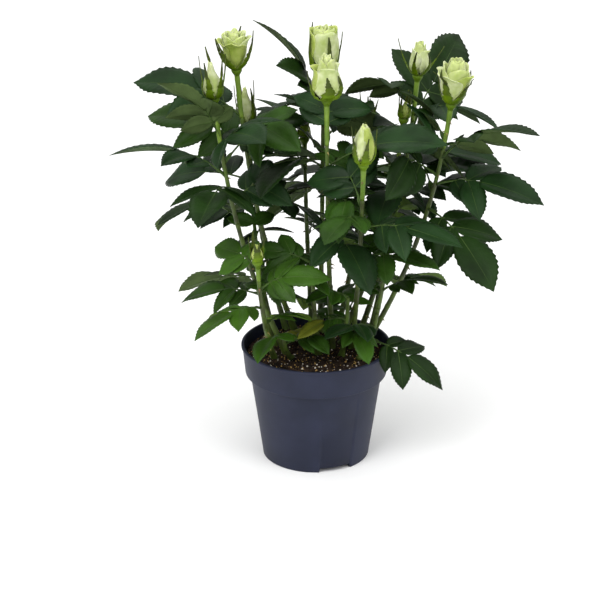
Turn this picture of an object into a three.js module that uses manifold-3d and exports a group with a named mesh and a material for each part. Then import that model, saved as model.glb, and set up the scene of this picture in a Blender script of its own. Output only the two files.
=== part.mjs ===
// A potted patio rose: plastic nursery pot, growing medium, basal canes and the leafy, budded crown of each.
// Millimetres, +Z up. The origin is the centre of the pot's underside, and -Y is the front.
import * as THREE from "three";
import { mergeVertices } from "three/addons/utils/BufferGeometryUtils.js";
import Module from "manifold-3d";

const wasm = await Module();
wasm.setup();

// Driving sizes of the pot
const POT_HEIGHT = 103;
const RIM_RADIUS = 65;
const RIM_LIP = 2;
const FOOT_RADIUS = 46.5;
const WALL = 1.6;
const COLLAR_HEIGHT = 26;
const COLLAR_RADIUS = 61.5; // at the collar's lower edge
const SHOULDER_RADIUS = 57.3; // of the wall just below the collar
const FLOOR_RAISE = 5; // the floor's underside stands on a foot ring and a central boss
const BOSS_RADIUS = 12;
const FOOT_NOTCHES = 3;
const NOTCH_WIDTH = 29;
const FIRST_NOTCH_AZIMUTH = -68;
const DRAIN_HOLES = 6;
const DRAIN_RADIUS = 5;
const DRAIN_CIRCLE = 31;
const POT_SIDES = 40;

// Growing medium
const SOIL_TOP = 97;
const SOIL_EDGE_DIP = 2.5; // the medium sinks towards the wall
const SOIL_SIDES = 20;
const GAP = 0.3; // clearance between neighbouring solids

// Canes and leaves
const CANE_FOOT_RADIUS = 2.4;
const CANE_TIP_RADIUS = 1.5;
const FOOT_FLARE = 1.2;
const FLARE_SHARE = 0.05; // share of the cane's length over which the flare dies away
const CANE_LEAN = 0.8; // share of a cane's sideways reach set by the handle of its curve
const CANE_RISE = 0.45; // and of its height
const CANE_SIDES = 5;
const CROWN_START = 0.035; // a crown's stem starts this share of the cane below its first leaf
const DIVERGENCE = 137.5; // turn from each leaf to the next one up its cane
const RACHIS_LENGTH = 52;
const TERMINAL_LEAFLET = 60;
const LATERAL_LEAFLET = 55;
const LEAFLET_PAIRS = [
  { at: 0.45, scale: 0.6, angle: 66 },
  { at: 0.74, scale: 0.82, angle: 58 },
];
const TWIG_RADIUS = 1.05;
const LEAFLET_THICKNESS = 1.0;
const LEFT_OFF = 2; // of each leaf's leaflets, the small basal pair, which these solids go without
const LEAFLET_WIDTH = 0.26; // half the blade's width, as a share of its length
const LEAFLET_CORNERS = [[0.28, 1], [0.68, 0.76]]; // up one side: shares of the length and of the half width
const MIDRIB_CREST = 0.45; // where a blade is thickest, as a share of its length
const TWIG_OVERRUN = 1.05; // a twig runs on into its end leaflet by this share of its rachis
const FOLD = 0.18; // how far a blade's edges stand above its midrib, as a share of their distance from it
const LEAF_CLEARANCE = 0.5;
const SLIVER = 0.04;

// Buds: length above the receptacle, greatest radius, whether the petals' rims part, and the sepals' stand
const BUDS = {
  open: { length: 38, radius: 12.5, parted: true, sepals: 30, tilt: 27 },
  half: { length: 37, radius: 11.5, parted: true, sepals: 26, tilt: 34 },
  small: { length: 29, radius: 8.5, parted: true, sepals: 27, tilt: 30 },
  plump: { length: 35, radius: 9.2, parted: false, sepals: 32, tilt: 20 },
  tight: { length: 30, radius: 8, parted: false, sepals: 40, tilt: 18 },
  green: { length: 16, radius: 4.6, parted: false, sepals: 24, tilt: 14 },
};
const BUD_SIDES = 8;
const SEPALS = 5;
const FIRST_SEPAL = 20;
const SEPAL_WIDTH = 3; // half of it, at the receptacle
const SEPAL_THICKNESS = 0.9;

// Each shoot rises from its foot in the medium to its tip. Its leaves stand from one share of its length to
// another, the first one rising by so many degrees at an azimuth called turn: mostly outwards from the middle
// of the plant. The number of its row is the seed that varies them.
// Columns: name, foot x and y, tip x, y and z, bud, leaves, from, to, leaf size, rise, turn
const SHOOTS = [
  ["left", -26, -8, -85, -15, 330, "tight", 4, 0.58, 0.86, 1, 28, 130],
  ["left_back", -18, 38, -67, 15, 346, "open", 5, 0.54, 0.84, 1.04, 12, 350],
  ["mid_back", 4, 36, 6, 45, 334, "open", 4, 0.56, 0.86, 1, 24, 95],
  ["mid_front", 14, 4, 8, -25, 332, "half", 5, 0.52, 0.84, 0.96, 18, 270],
  ["right_back", 38, 30, 87, 60, 327, "small", 5, 0.54, 0.9, 1.06, 20, 10],
  ["right", 44, 14, 112, -5, 322, "open", 5, 0.6, 0.86, 1, 16, 300],
  ["front", 31, 2, 38, -60, 288, "plump", 4, 0.5, 0.8, 0.9, 14, 60],
  ["back_small", 24, 34, 75, 45, 293, "green", 3, 0.54, 0.85, 0.9, 14, 90],
  ["left_low", -36, -19, -49, -75, 209, "green", 4, 0.42, 0.92, 0.6, 14, 60],
  ["back_left", -26, 44, -60, 72, 280, "tight", 4, 0.5, 0.9, 0.94, 16, 265],
  ["back_right", 20, 48, 46, 86, 275, "half", 4, 0.5, 0.9, 0.94, 16, 60],
  ["back", -3, 48, -10, 86, 262, "green", 4, 0.5, 0.9, 0.94, 16, 90],
  ["low_front", 2, -10, -4, -40, 206, null, 3, 0.5, 1, 0.72, 16, 120],
  ["low_right", 42, -8, 60, -22, 200, null, 3, 0.5, 1, 0.72, 20, 90],
  ["low_left", -36, 8, -52, 0, 200, null, 3, 0.5, 1, 0.72, 20, 180],
  ["low_back_left", -36, 28, -54, 46, 200, null, 3, 0.5, 1, 0.74, 18, 150],
  ["low_back_right", 46, 24, 62, 32, 200, null, 3, 0.5, 1, 0.74, 18, 30],
  ["low_middle", 22, -14, 27, -26, 156, null, 3, 0.55, 1, 0.5, 16, 300],
  ["rim_left", -22, -20, -28, -32, 122, null, 2, 0.45, 1, 0.65, 10, 110],
  ["rim_right", 22, 12, 28, 4, 130, null, 2, 0.45, 1, 0.6, 14, 0],
  ["rim_back", 10, 48, 14, 60, 132, null, 2, 0.45, 1, 0.6, 14, 90],
  ["yellowed", 0, 12, 2, 0, 128, null, 2, 0.45, 1, 0.5, 5, 190],
  ["base_right", 38, -20, 52, -20, 138, null, 2, 0.45, 1, 0.7, 5, 0],
].map(([name, footX, footY, tipX, tipY, tipZ, bud, leaves, from, to, size, rise, turn], row) => {
  const foot = [footX, footY];
  const tip = [tipX, tipY, tipZ];
  return { name, foot, tip, bud, leaves, from, to, size, rise, turn, seed: row + 1 };
});

const UP = new THREE.Vector3(0, 0, 1);
const radians = THREE.MathUtils.degToRad;

// A repeatable source of draws between 0 and 1.
function draws(seed) {
  let state = seed >>> 0;
  return () => {
    state = (state + 0x6d2b79f5) >>> 0;
    let mixed = Math.imul(state ^ (state >>> 15), state | 1);
    mixed ^= mixed + Math.imul(mixed ^ (mixed >>> 7), mixed | 61);
    return ((mixed ^ (mixed >>> 14)) >>> 0) / 4294967296;
  };
}

function solidOf(geometry) {
  geometry.deleteAttribute("normal");
  geometry.deleteAttribute("uv");
  const merged = mergeVertices(geometry, 1e-4);
  return new wasm.Manifold(
    new wasm.Mesh({
      numProp: 3,
      vertProperties: merged.attributes.position.array,
      triVerts: new Uint32Array(merged.index.array),
    }),
  );
}

function geometryOf(solid) {
  const mesh = solid.getMesh();
  const points = new Float32Array(mesh.numVert * 3);
  for (let i = 0; i < mesh.numVert; i++) {
    const start = i * mesh.numProp;
    points.set(mesh.vertProperties.subarray(start, start + 3), i * 3);
  }
  return new THREE.BufferGeometry()
    .setAttribute("position", new THREE.BufferAttribute(points, 3))
    .setIndex(new THREE.BufferAttribute(mesh.triVerts, 1));
}

// A closed profile of [radius, height] pairs turned round the Z axis.
function turned(profile, sides) {
  const points = profile.map(([radius, height]) => new THREE.Vector2(radius, height));
  return new THREE.LatheGeometry(points, sides).rotateX(Math.PI / 2);
}

// The direction of a quadratic curve, which also holds a little before its start.
function tangentOf({ v0, v1, v2 }, share) {
  const first = v1.clone().sub(v0).multiplyScalar(1 - share);
  return first.addScaledVector(v2.clone().sub(v1), share).normalize();
}

// A limb of round section along a curve, from one share of it to another, its ends cut square.
function limb(curve, from, to, radiusAt, sides, rings) {
  const geometry = new THREE.CylinderGeometry(1, 1, 1, sides, rings);
  const reference = Math.abs(tangentOf(curve, from).z) > 0.8 ? new THREE.Vector3(1, 0, 0) : UP;
  const place = geometry.attributes.position;
  for (let i = 0; i < place.count; i++) {
    const share = from + (to - from) * (place.getY(i) + 0.5);
    const along = tangentOf(curve, share);
    const across = along.clone().cross(reference).normalize();
    const third = across.clone().cross(along);
    const point = curve
      .getPoint(share)
      .addScaledVector(across, place.getX(i) * radiusAt(share))
      .addScaledVector(third, place.getZ(i) * radiusAt(share));
    place.setXYZ(i, point.x, point.y, point.z);
  }
  return solidOf(geometry);
}

// A thin pointed leaflet, arched along its length and folded on its midrib.
function bladeSolid({ base, along, normal, length, curl, swell = 0 }) {
  const side = new THREE.Vector3().crossVectors(normal, along);
  const place = (x, y, lift) =>
    base
      .clone()
      .addScaledVector(along, x * length)
      .addScaledVector(side, y)
      .addScaledVector(normal, lift + FOLD * Math.abs(y) - curl * length * x * x);
  const half = LEAFLET_THICKNESS / 2 + swell;
  const edge = (hand) =>
    LEAFLET_CORNERS.map(([x, share]) => place(x, hand * (share * LEAFLET_WIDTH * length + swell), 0));
  const around = [...edge(-1), place(1, 0, 0), ...edge(1).reverse()];
  const points = [0, MIDRIB_CREST].flatMap((x) => [place(x, 0, half), place(x, 0, -half)]);
  const [baseTop, baseUnder, crestTop, crestUnder] = points.keys();
  const first = points.length;
  const last = first + around.length - 1;
  const faces = [
    [baseUnder, first, baseTop],
    [baseUnder, baseTop, last],
    [crestTop, baseTop, first],
    [crestUnder, first, baseUnder],
    [crestTop, last, baseTop],
    [crestUnder, baseUnder, last],
  ];
  for (let i = first; i < last; i++) faces.push([crestTop, i, i + 1], [crestUnder, i + 1, i]);
  const geometry = new THREE.BufferGeometry().setFromPoints([...points, ...around]);
  return solidOf(geometry.setIndex(faces.flat()));
}

function potSolid() {
  const collarBase = POT_HEIGHT - COLLAR_HEIGHT;
  const floorTop = FLOOR_RAISE + WALL;
  const profile = [
    [0, 0],
    [BOSS_RADIUS, 0],
    [BOSS_RADIUS, FLOOR_RAISE],
    [FOOT_RADIUS - 2 * WALL, FLOOR_RAISE],
    [FOOT_RADIUS - 2 * WALL, 0],
    [FOOT_RADIUS, 0],
    [SHOULDER_RADIUS, collarBase - 1],
    [COLLAR_RADIUS, collarBase],
    [RIM_RADIUS - 1, POT_HEIGHT - RIM_LIP],
    [RIM_RADIUS, POT_HEIGHT - RIM_LIP],
    [RIM_RADIUS, POT_HEIGHT],
    [RIM_RADIUS - RIM_LIP - 0.6, POT_HEIGHT],
    [COLLAR_RADIUS - WALL, collarBase + 1],
    [SHOULDER_RADIUS - WALL, collarBase - 1],
    [FOOT_RADIUS - WALL + 0.7, floorTop],
    [0, floorTop],
  ];
  let pot = solidOf(turned(profile, POT_SIDES));
  for (let i = 0; i < FOOT_NOTCHES; i++) {
    const notch = new THREE.BoxGeometry(16, NOTCH_WIDTH, 2 * FLOOR_RAISE - 0.8);
    notch.translate(FOOT_RADIUS, 0, 0);
    notch.rotateZ(radians(FIRST_NOTCH_AZIMUTH + (360 / FOOT_NOTCHES) * i));
    pot = pot.subtract(solidOf(notch));
  }
  for (let i = 0; i < DRAIN_HOLES; i++) {
    const hole = new THREE.CylinderGeometry(DRAIN_RADIUS, DRAIN_RADIUS, 4 * FLOOR_RAISE, 10);
    hole.rotateX(Math.PI / 2);
    hole.translate(DRAIN_CIRCLE, 0, 0);
    hole.rotateZ(radians(FIRST_NOTCH_AZIMUTH + (360 / DRAIN_HOLES) * i));
    pot = pot.subtract(solidOf(hole));
  }
  return pot;
}

function soilSolid() {
  const collarBase = POT_HEIGHT - COLLAR_HEIGHT;
  const inset = WALL + 2 * GAP;
  const topRadius = COLLAR_RADIUS - inset + 0.65;
  const profile = [
    [0, FLOOR_RAISE + WALL + GAP],
    [FOOT_RADIUS - inset + 0.7, FLOOR_RAISE + WALL + GAP],
    [SHOULDER_RADIUS - inset, collarBase - 1 + GAP],
    [COLLAR_RADIUS - inset, collarBase + 1 + GAP],
    [topRadius, SOIL_TOP - SOIL_EDGE_DIP],
    [topRadius - 8, SOIL_TOP],
    [0, SOIL_TOP],
  ];
  return solidOf(turned(profile, SOIL_SIDES));
}

function canePath({ foot, tip }) {
  const start = new THREE.Vector3(foot[0], foot[1], SOIL_TOP);
  const end = new THREE.Vector3(...tip);
  const pull = new THREE.Vector3(CANE_LEAN, CANE_LEAN, CANE_RISE);
  const handle = end.clone().sub(start).multiply(pull).add(start);
  return new THREE.QuadraticBezierCurve3(start, handle, end);
}

function caneRadius(share) {
  const flare = FOOT_FLARE * Math.exp(-Math.max(share, 0) / FLARE_SHARE);
  return CANE_FOOT_RADIUS + (CANE_TIP_RADIUS - CANE_FOOT_RADIUS) * share + flare;
}

// Everything that starts in the medium has a flat foot just above it.
function cutAtSoil(solid) {
  const below = new THREE.BoxGeometry(400, 400, 100).translate(0, 0, SOIL_TOP + GAP - 50);
  return solid.subtract(solidOf(below));
}

function caneSolid(shoot) {
  return cutAtSoil(limb(canePath(shoot), -0.03, crownStart(shoot), caneRadius, CANE_SIDES, 5));
}

function crownStart(shoot) {
  return shoot.from - CROWN_START;
}

// One compound leaf: the curve of its rachis, and each leaflet's place, directions, length and curl.
function compoundLeaf(root, azimuth, rise, size, outward, draw) {
  const level = new THREE.Vector3(Math.cos(azimuth), Math.sin(azimuth), 0);
  const start = level.multiplyScalar(Math.cos(rise)).addScaledVector(UP, Math.sin(rise));
  const reach = RACHIS_LENGTH * size * (0.9 + 0.2 * draw());
  const droop = 0.35 + 0.35 * draw();
  const roll = (draw() - 0.5) * 2 * radians(38);
  const rachis = new THREE.QuadraticBezierCurve3(
    root,
    root.clone().addScaledVector(start, reach / 2),
    root.clone().addScaledVector(start, reach).addScaledVector(UP, (-reach * droop) / 2),
  );
  const frameAt = (share) => {
    const along = tangentOf(rachis, share);
    const lit = UP.clone().addScaledVector(outward, 0.55);
    const normal = lit.addScaledVector(along, -lit.dot(along)).normalize();
    normal.applyAxisAngle(along, -roll);
    return { along, normal, side: new THREE.Vector3().crossVectors(normal, along) };
  };
  const leaflets = [];
  for (const pair of LEAFLET_PAIRS) {
    const { along, normal, side } = frameAt(pair.at);
    for (const hand of [-1, 1]) {
      const angle = radians(pair.angle + (draw() - 0.5) * 16);
      const away = along
        .clone()
        .multiplyScalar(Math.cos(angle))
        .addScaledVector(side, hand * Math.sin(angle))
        .addScaledVector(normal, -0.12)
        .normalize();
      const face = normal.clone().addScaledVector(away, -normal.dot(away)).normalize();
      const length = LATERAL_LEAFLET * size * pair.scale * (0.92 + 0.16 * draw());
      const curl = 0.16 + 0.14 * draw();
      leaflets.push({ base: rachis.getPoint(pair.at), along: away, normal: face, length, curl });
    }
  }
  const { along, normal } = frameAt(1);
  const length = TERMINAL_LEAFLET * size * (0.92 + 0.16 * draw());
  leaflets.push({ base: rachis.getPoint(1), along, normal, length, curl: 0.12 + 0.22 * draw() });
  return { rachis, leaflets };
}

// The leaves of a shoot, by phyllotaxis up its cane.
function leavesOf(shoot) {
  const draw = draws(shoot.seed);
  const path = canePath(shoot);
  return Array.from({ length: shoot.leaves }, (_, k) => {
    const height = k / (shoot.leaves - 1);
    const root = path.getPoint(shoot.from + (shoot.to - shoot.from) * height);
    const azimuth = radians(shoot.turn + k * DIVERGENCE + (draw() - 0.5) * 50);
    const rise = radians(shoot.rise + 34 * height + (draw() - 0.5) * 24);
    const middling = Math.sin(Math.PI * (0.15 + 0.75 * height));
    const size = shoot.size * (0.86 + 0.2 * middling) * (0.9 + 0.2 * draw());
    const outward = new THREE.Vector3(root.x / 110, root.y / 110, 0);
    return compoundLeaf(root, azimuth, rise, size, outward, draw);
  });
}

// The receptacle with its petals, as one turned body, and the sepals round it as slim flattened spikes.
function budSolids(shoot) {
  const { length, radius, parted, sepals, tilt } = BUDS[shoot.bud];
  const path = canePath(shoot);
  const receptacle = [
    [0, -5],
    [2.2, -4.4],
    [3.4, -2],
    [3.4, 0],
  ];
  const closed = [
    [0.76 * radius, 0.14 * length],
    [radius, 0.38 * length],
    [0.8 * radius, 0.64 * length],
    [0.4 * radius, 0.86 * length],
    [0, length],
  ];
  const opened = [
    [0.74 * radius, 0.14 * length],
    [0.94 * radius, 0.4 * length],
    [radius, 0.84 * length],
    [0.6 * radius, 0.87 * length],
    [0, length],
  ];
  const onTip = new THREE.Matrix4()
    .makeRotationFromQuaternion(new THREE.Quaternion().setFromUnitVectors(UP, tangentOf(path, 1)))
    .setPosition(path.getPoint(1));
  const body = turned([...receptacle, ...(parted ? opened : closed)], BUD_SIDES);
  const solids = [solidOf(body.applyMatrix4(onTip))];
  for (let i = 0; i < SEPALS; i++) {
    const spike = new THREE.ConeGeometry(1, sepals, 3).rotateX(Math.PI / 2).translate(0, 0, sepals / 2);
    spike.scale(SEPAL_THICKNESS, SEPAL_WIDTH, 1);
    spike.rotateY(radians(tilt)).translate(1.5, 0, 0);
    spike.rotateZ(radians(FIRST_SEPAL + (360 / SEPALS) * i));
    solids.push(solidOf(spike.applyMatrix4(onTip)));
  }
  return solids;
}

// What has been placed so far, piece by piece, so that a leaf can keep clear of every other node.
const placed = [];

function place(node, solid) {
  placed.push({ node, solid, box: solid.boundingBox() });
  return solid;
}

function touchesOthers(node, probe) {
  const box = probe.boundingBox();
  const apart = (other) => [0, 1, 2].some((i) => box.max[i] < other.min[i] || other.max[i] < box.min[i]);
  return placed
    .filter((other) => other.node !== node && !apart(other.box))
    .some((other) => !probe.intersect(other.solid).isEmpty());
}

// A leaf's twig and leaflets, without those that would touch another node.
function leafSolids(node, { rachis, leaflets }) {
  const probe = limb(rachis, 0.05, TWIG_OVERRUN + 0.01, () => TWIG_RADIUS + LEAF_CLEARANCE, 4, 3);
  if (touchesOthers(node, probe)) return [];
  const blades = leaflets
    .slice(LEFT_OFF)
    .filter((leaflet) => !touchesOthers(node, bladeSolid({ ...leaflet, swell: LEAF_CLEARANCE })))
    .map((leaflet) => place(node, bladeSolid(leaflet)));
  return [place(node, limb(rachis, 0, TWIG_OVERRUN, () => TWIG_RADIUS, 3, 2)), ...blades];
}

// One body: slivers that fusing leaves are smoothed away, and scraps that hang loose are dropped.
function fused(solids) {
  const bodies = wasm.Manifold.union(solids).simplify(SLIVER).decompose();
  return bodies.reduce((largest, body) => (body.volume() > largest.volume() ? body : largest));
}

const POT_PLASTIC = new THREE.MeshStandardMaterial({ color: 0x3a3f52, roughness: 0.6, metalness: 0 });
const MEDIUM = new THREE.MeshStandardMaterial({ color: 0x2a211c, roughness: 1, metalness: 0 });
const GREEN_BARK = new THREE.MeshStandardMaterial({ color: 0x6a8a3a, roughness: 0.6, metalness: 0 });
const FOLIAGE = new THREE.MeshStandardMaterial({ color: 0x2f5a2c, roughness: 0.55, metalness: 0 });

const group = new THREE.Group();

function addNode(name, solid, material) {
  const mesh = new THREE.Mesh(geometryOf(solid), material);
  mesh.name = name;
  group.add(mesh);
}

addNode("pot", place("pot", potSolid()), POT_PLASTIC);
addNode("soil", place("soil", soilSolid()), MEDIUM);
for (const shoot of SHOOTS) {
  addNode(`cane_${shoot.name}`, place(`cane_${shoot.name}`, caneSolid(shoot)), GREEN_BARK);
}

const crowns = SHOOTS.map((shoot) => {
  const node = `crown_${shoot.name}`;
  const path = canePath(shoot);
  const start = crownStart(shoot) + GAP / path.getLength();
  const stem = limb(path, start, 1, caneRadius, CANE_SIDES, 4);
  const bud = shoot.bud ? budSolids(shoot) : [];
  return { shoot, node, solids: [stem, ...bud].map((solid) => place(node, solid)) };
});
for (const { shoot, node, solids } of crowns) {
  const leaves = leavesOf(shoot).flatMap((leaf) => leafSolids(node, leaf));
  addNode(node, fused([...solids, ...leaves]), FOLIAGE);
}

export default group;
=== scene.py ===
"""A potted patio rose with cream-green buds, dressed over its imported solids.

Lengths in this file are millimetres and angles are degrees, up to build_piece, which stores metres.
"""

import math
from collections import namedtuple
from functools import cache

import bpy
import numpy as np
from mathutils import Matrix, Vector, noise
from mathutils.bvhtree import BVHTree


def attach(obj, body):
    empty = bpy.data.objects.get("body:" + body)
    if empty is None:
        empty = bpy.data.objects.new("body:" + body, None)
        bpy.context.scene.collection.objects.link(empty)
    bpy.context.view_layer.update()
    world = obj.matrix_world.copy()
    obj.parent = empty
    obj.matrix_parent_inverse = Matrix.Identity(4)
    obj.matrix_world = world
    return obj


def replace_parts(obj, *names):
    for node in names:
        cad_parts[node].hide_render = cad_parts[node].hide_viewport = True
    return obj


MM = 0.001
UP = np.array([0.0, 0.0, 1.0])

# The pot and its medium, from the same sizes as the solids
POT_HEIGHT = 103.0
RIM_RADIUS = 65.0
RIM_LIP = 2.0
FOOT_RADIUS = 46.5
WALL = 1.6
COLLAR_BASE = 77.0
COLLAR_RADIUS = 61.5
SHOULDER_RADIUS = 57.3
FLOOR_RAISE = 5.0
BOSS_RADIUS = 12.0
FOOT_NOTCHES = 3
NOTCH_WIDTH = 29.0
FIRST_NOTCH_AZIMUTH = -68.0
DRAIN_HOLES = 6
DRAIN_RADIUS = 5.0
DRAIN_CIRCLE = 31.0
DRAIN_SIDES = 32
POT_SIDES = 240
SOIL_TOP = 97.0
SOIL_EDGE_DIP = 2.5
SOIL_LUMP = 1.5
SOIL_SIDES = 260
SOIL_RINGS = 75
SOIL_REACH = 58.5  # crumbs lie inside this radius
GAP = 0.3  # clearance between neighbouring solids
DARK_CRUMBS = 480
CRUMB_SIDES = 6
# Grains in the soil: piece, how many, greatest radius and colour
GRAINS = (
    ("soil_grains", 260, 1.2, (228, 220, 208)),
    ("soil_fibres", 460, 1.0, (176, 142, 84)),
)

# Canes and leaves: the growth rule of the solids
CANE_FOOT_RADIUS = 2.4
CANE_TIP_RADIUS = 1.5
FOOT_FLARE = 1.2
FLARE_SHARE = 0.05
NECK_SWELL = 0.9  # added to the radius under a bud
NECK_SHARE = 0.12
NECK_START = 0.84  # where a budded stem turns bright green
CANE_LEAN = 0.8
CANE_RISE = 0.45
CROWN_START = 0.035
DIVERGENCE = 137.5
RACHIS_LENGTH = 52.0
TERMINAL_LEAFLET = 60.0
LATERAL_LEAFLET = 55.0
LEAFLET_PAIRS = ((0.45, 0.60, 66.0), (0.74, 0.82, 58.0))  # place, scale and angle of each pair
FOLD = 0.18
LEAF_ROLL = 38.0  # how far a leaf may roll about its stalk, either way
LEAN_OUT = 0.55  # how far a leaf faces outwards as well as up, at CROWN_RADIUS
CROWN_RADIUS = 110.0
SPREAD_DRAW = 16.0  # range of the draw for a leaflet's angle
TURN_DRAW = 50.0  # and of those for a leaf's turn and its rise
RISE_DRAW = 24.0
RISE_GAIN = 34.0  # how much more the last leaf of a shoot rises than the first

# What the solids leave to this script
LEAF_WIDTH = 0.285  # half the blade's width, as a share of its length
TEETH = 11  # a side, one at the end of each side vein
BLADE_COLUMNS = (-1.0, -0.7, -0.34, 0.0, 0.34, 0.7, 1.0)
BLADE_THICKNESS = 0.35
VEIN_SLANT = 0.12
QUILT = 0.016
TOOTH_DEPTH = 0.075
LEAF_CLEARANCE = 0.5
CANE_PROBE = 2.2  # a cane's radius where leaves are kept apart
STALK_PROBE = 0.9
POT_PROBE_FOOT = 60.0  # the pot's rim is tested from this height up
RIM_PROBES = 32
BETWEEN_SCALE = 0.83  # size of the leaves between the solids' own
STALK_POINTS = 9
STALK_SIDES = 6
MIDRIB_RADII = (0.52, 0.2)  # at its foot and at its tip
MIDRIB_SIDES = 5
STIPULE_ROWS = 7
STIPULE_REACH = 0.26  # share of the leaf stalk that a stipule runs along
STIPULE_WIDTH = 2.6
STIPULE_THICKNESS = 0.3
BARK_SIDES = 12
BARK_RING_STEP = 2.2
JOINT_SWELL = 0.22
JOINTS = 14  # along a whole cane
BARK_RIDGE = 0.13
CANE_ROOT = -0.03  # where a cane's mesh starts, as a share of its length
LAP = 0.002  # how far a length of stem runs into the one below
PRICKLES = 9  # a cane
PRICKLE_SIDES = 6
PRICKLE = ((0, 1.0), (0.25, 0.66), (0.5, 0.4), (0.75, 0.2), (1, 0.04))  # share of its length and radius

# Columns: name, foot x and y, tip x, y and z, bud, leaves, from, to, leaf size, rise, turn, and the tone
# of the leaves. The number of the row is the seed of the solids' own leaves.
Shoot = namedtuple("Shoot", "seed name foot_x foot_y x y z bud leaves first last size rise turn tone")
SHOOT_ROWS = (
    ("left", -26, -8, -85, -15, 330, "tight", 4, 0.58, 0.86, 1, 28, 130, "deep"),
    ("left_back", -18, 38, -67, 15, 346, "open", 5, 0.54, 0.84, 1.04, 12, 350, "bluish"),
    ("mid_back", 4, 36, 6, 45, 334, "barrel", 4, 0.56, 0.86, 1, 24, 95, "deep"),
    ("mid_front", 14, 4, 8, -25, 332, "half", 5, 0.52, 0.84, 0.96, 18, 270, "bluish"),
    ("right_back", 38, 30, 87, 60, 327, "small", 5, 0.54, 0.9, 1.06, 20, 10, "deep"),
    ("right", 44, 14, 112, -5, 322, "flared", 5, 0.6, 0.86, 1, 16, 300, "deep"),
    ("front", 31, 2, 38, -60, 288, "plump", 4, 0.5, 0.8, 0.9, 14, 60, "bluish"),
    ("back_small", 24, 34, 75, 45, 293, "green", 3, 0.54, 0.85, 0.9, 14, 90, "deep"),
    ("left_low", -36, -19, -49, -75, 209, "green", 4, 0.42, 0.92, 0.6, 14, 60, "young"),
    ("back_left", -26, 44, -60, 72, 280, "tight", 4, 0.5, 0.9, 0.94, 16, 265, "deep"),
    ("back_right", 20, 48, 46, 86, 275, "green", 4, 0.5, 0.9, 0.94, 16, 60, "bluish"),
    ("back", -3, 48, -10, 86, 262, "green", 4, 0.5, 0.9, 0.94, 16, 90, "deep"),
    ("low_front", 2, -10, -4, -40, 206, None, 3, 0.5, 1, 0.72, 16, 120, "fresh"),
    ("low_right", 42, -8, 60, -22, 200, None, 3, 0.5, 1, 0.72, 20, 90, "fresh"),
    ("low_left", -36, 8, -52, 0, 200, None, 3, 0.5, 1, 0.72, 20, 180, "mid"),
    ("low_back_left", -36, 28, -54, 46, 200, None, 3, 0.5, 1, 0.74, 18, 150, "deep"),
    ("low_back_right", 46, 24, 62, 32, 200, None, 3, 0.5, 1, 0.74, 18, 30, "mid"),
    ("low_middle", 22, -14, 27, -26, 156, None, 3, 0.55, 1, 0.5, 16, 300, "fresh"),
    ("rim_left", -22, -20, -28, -32, 122, None, 2, 0.45, 1, 0.65, 10, 110, "fresh"),
    ("rim_right", 22, 12, 28, 4, 130, None, 2, 0.45, 1, 0.6, 14, 0, "mid"),
    ("rim_back", 10, 48, 14, 60, 132, None, 2, 0.45, 1, 0.6, 14, 90, "deep"),
    ("yellowed", 0, 12, 2, 0, 128, None, 2, 0.45, 1, 0.5, 5, 190, "yellowed"),
    ("base_right", 38, -20, 52, -20, 138, None, 2, 0.45, 1, 0.7, 5, 0, "deep"),
)
SHOOTS = [Shoot(number, *row) for number, row in enumerate(SHOOT_ROWS, 1)]

# Leaf tones: upper surface, underside, and the tone of the leaves between
LEAF_TONES = {
    "deep": ((22, 43, 10), (70, 87, 48), "bluish"),
    "bluish": ((25, 48, 20), (72, 90, 58), "mid"),
    "mid": ((39, 66, 17), (80, 102, 46), "fresh"),
    "fresh": ((47, 78, 19), (88, 112, 44), "mid"),
    "young": ((50, 81, 20), (94, 120, 44), "fresh"),
    "yellowed": ((98, 104, 32), (100, 108, 38), "fresh"),
}

# Seeds of the draws for the scene's own detail. Those of prickles and buds are added to the shoot's own.
LEAF_SEED = 77
SOIL_SEED = 41
PRICKLE_SEED = 2000
BUD_SEED = 3000
OLD_SHOOT = "low_middle"  # the end leaflet of the lowest leaf between its own has turned yellow

# Petals, inner face and then outer face: the two colours that each mottles between
PETAL_TONES = {
    "inner": (((216, 222, 180), (176, 189, 118)), ((204, 213, 154), (162, 178, 96))),
    "cream": (((222, 228, 192), (190, 202, 140)), ((210, 218, 170), (154, 172, 92))),
    "lime": (((200, 208, 136), (162, 178, 86)), ((174, 187, 98), (130, 150, 50))),
}

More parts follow.
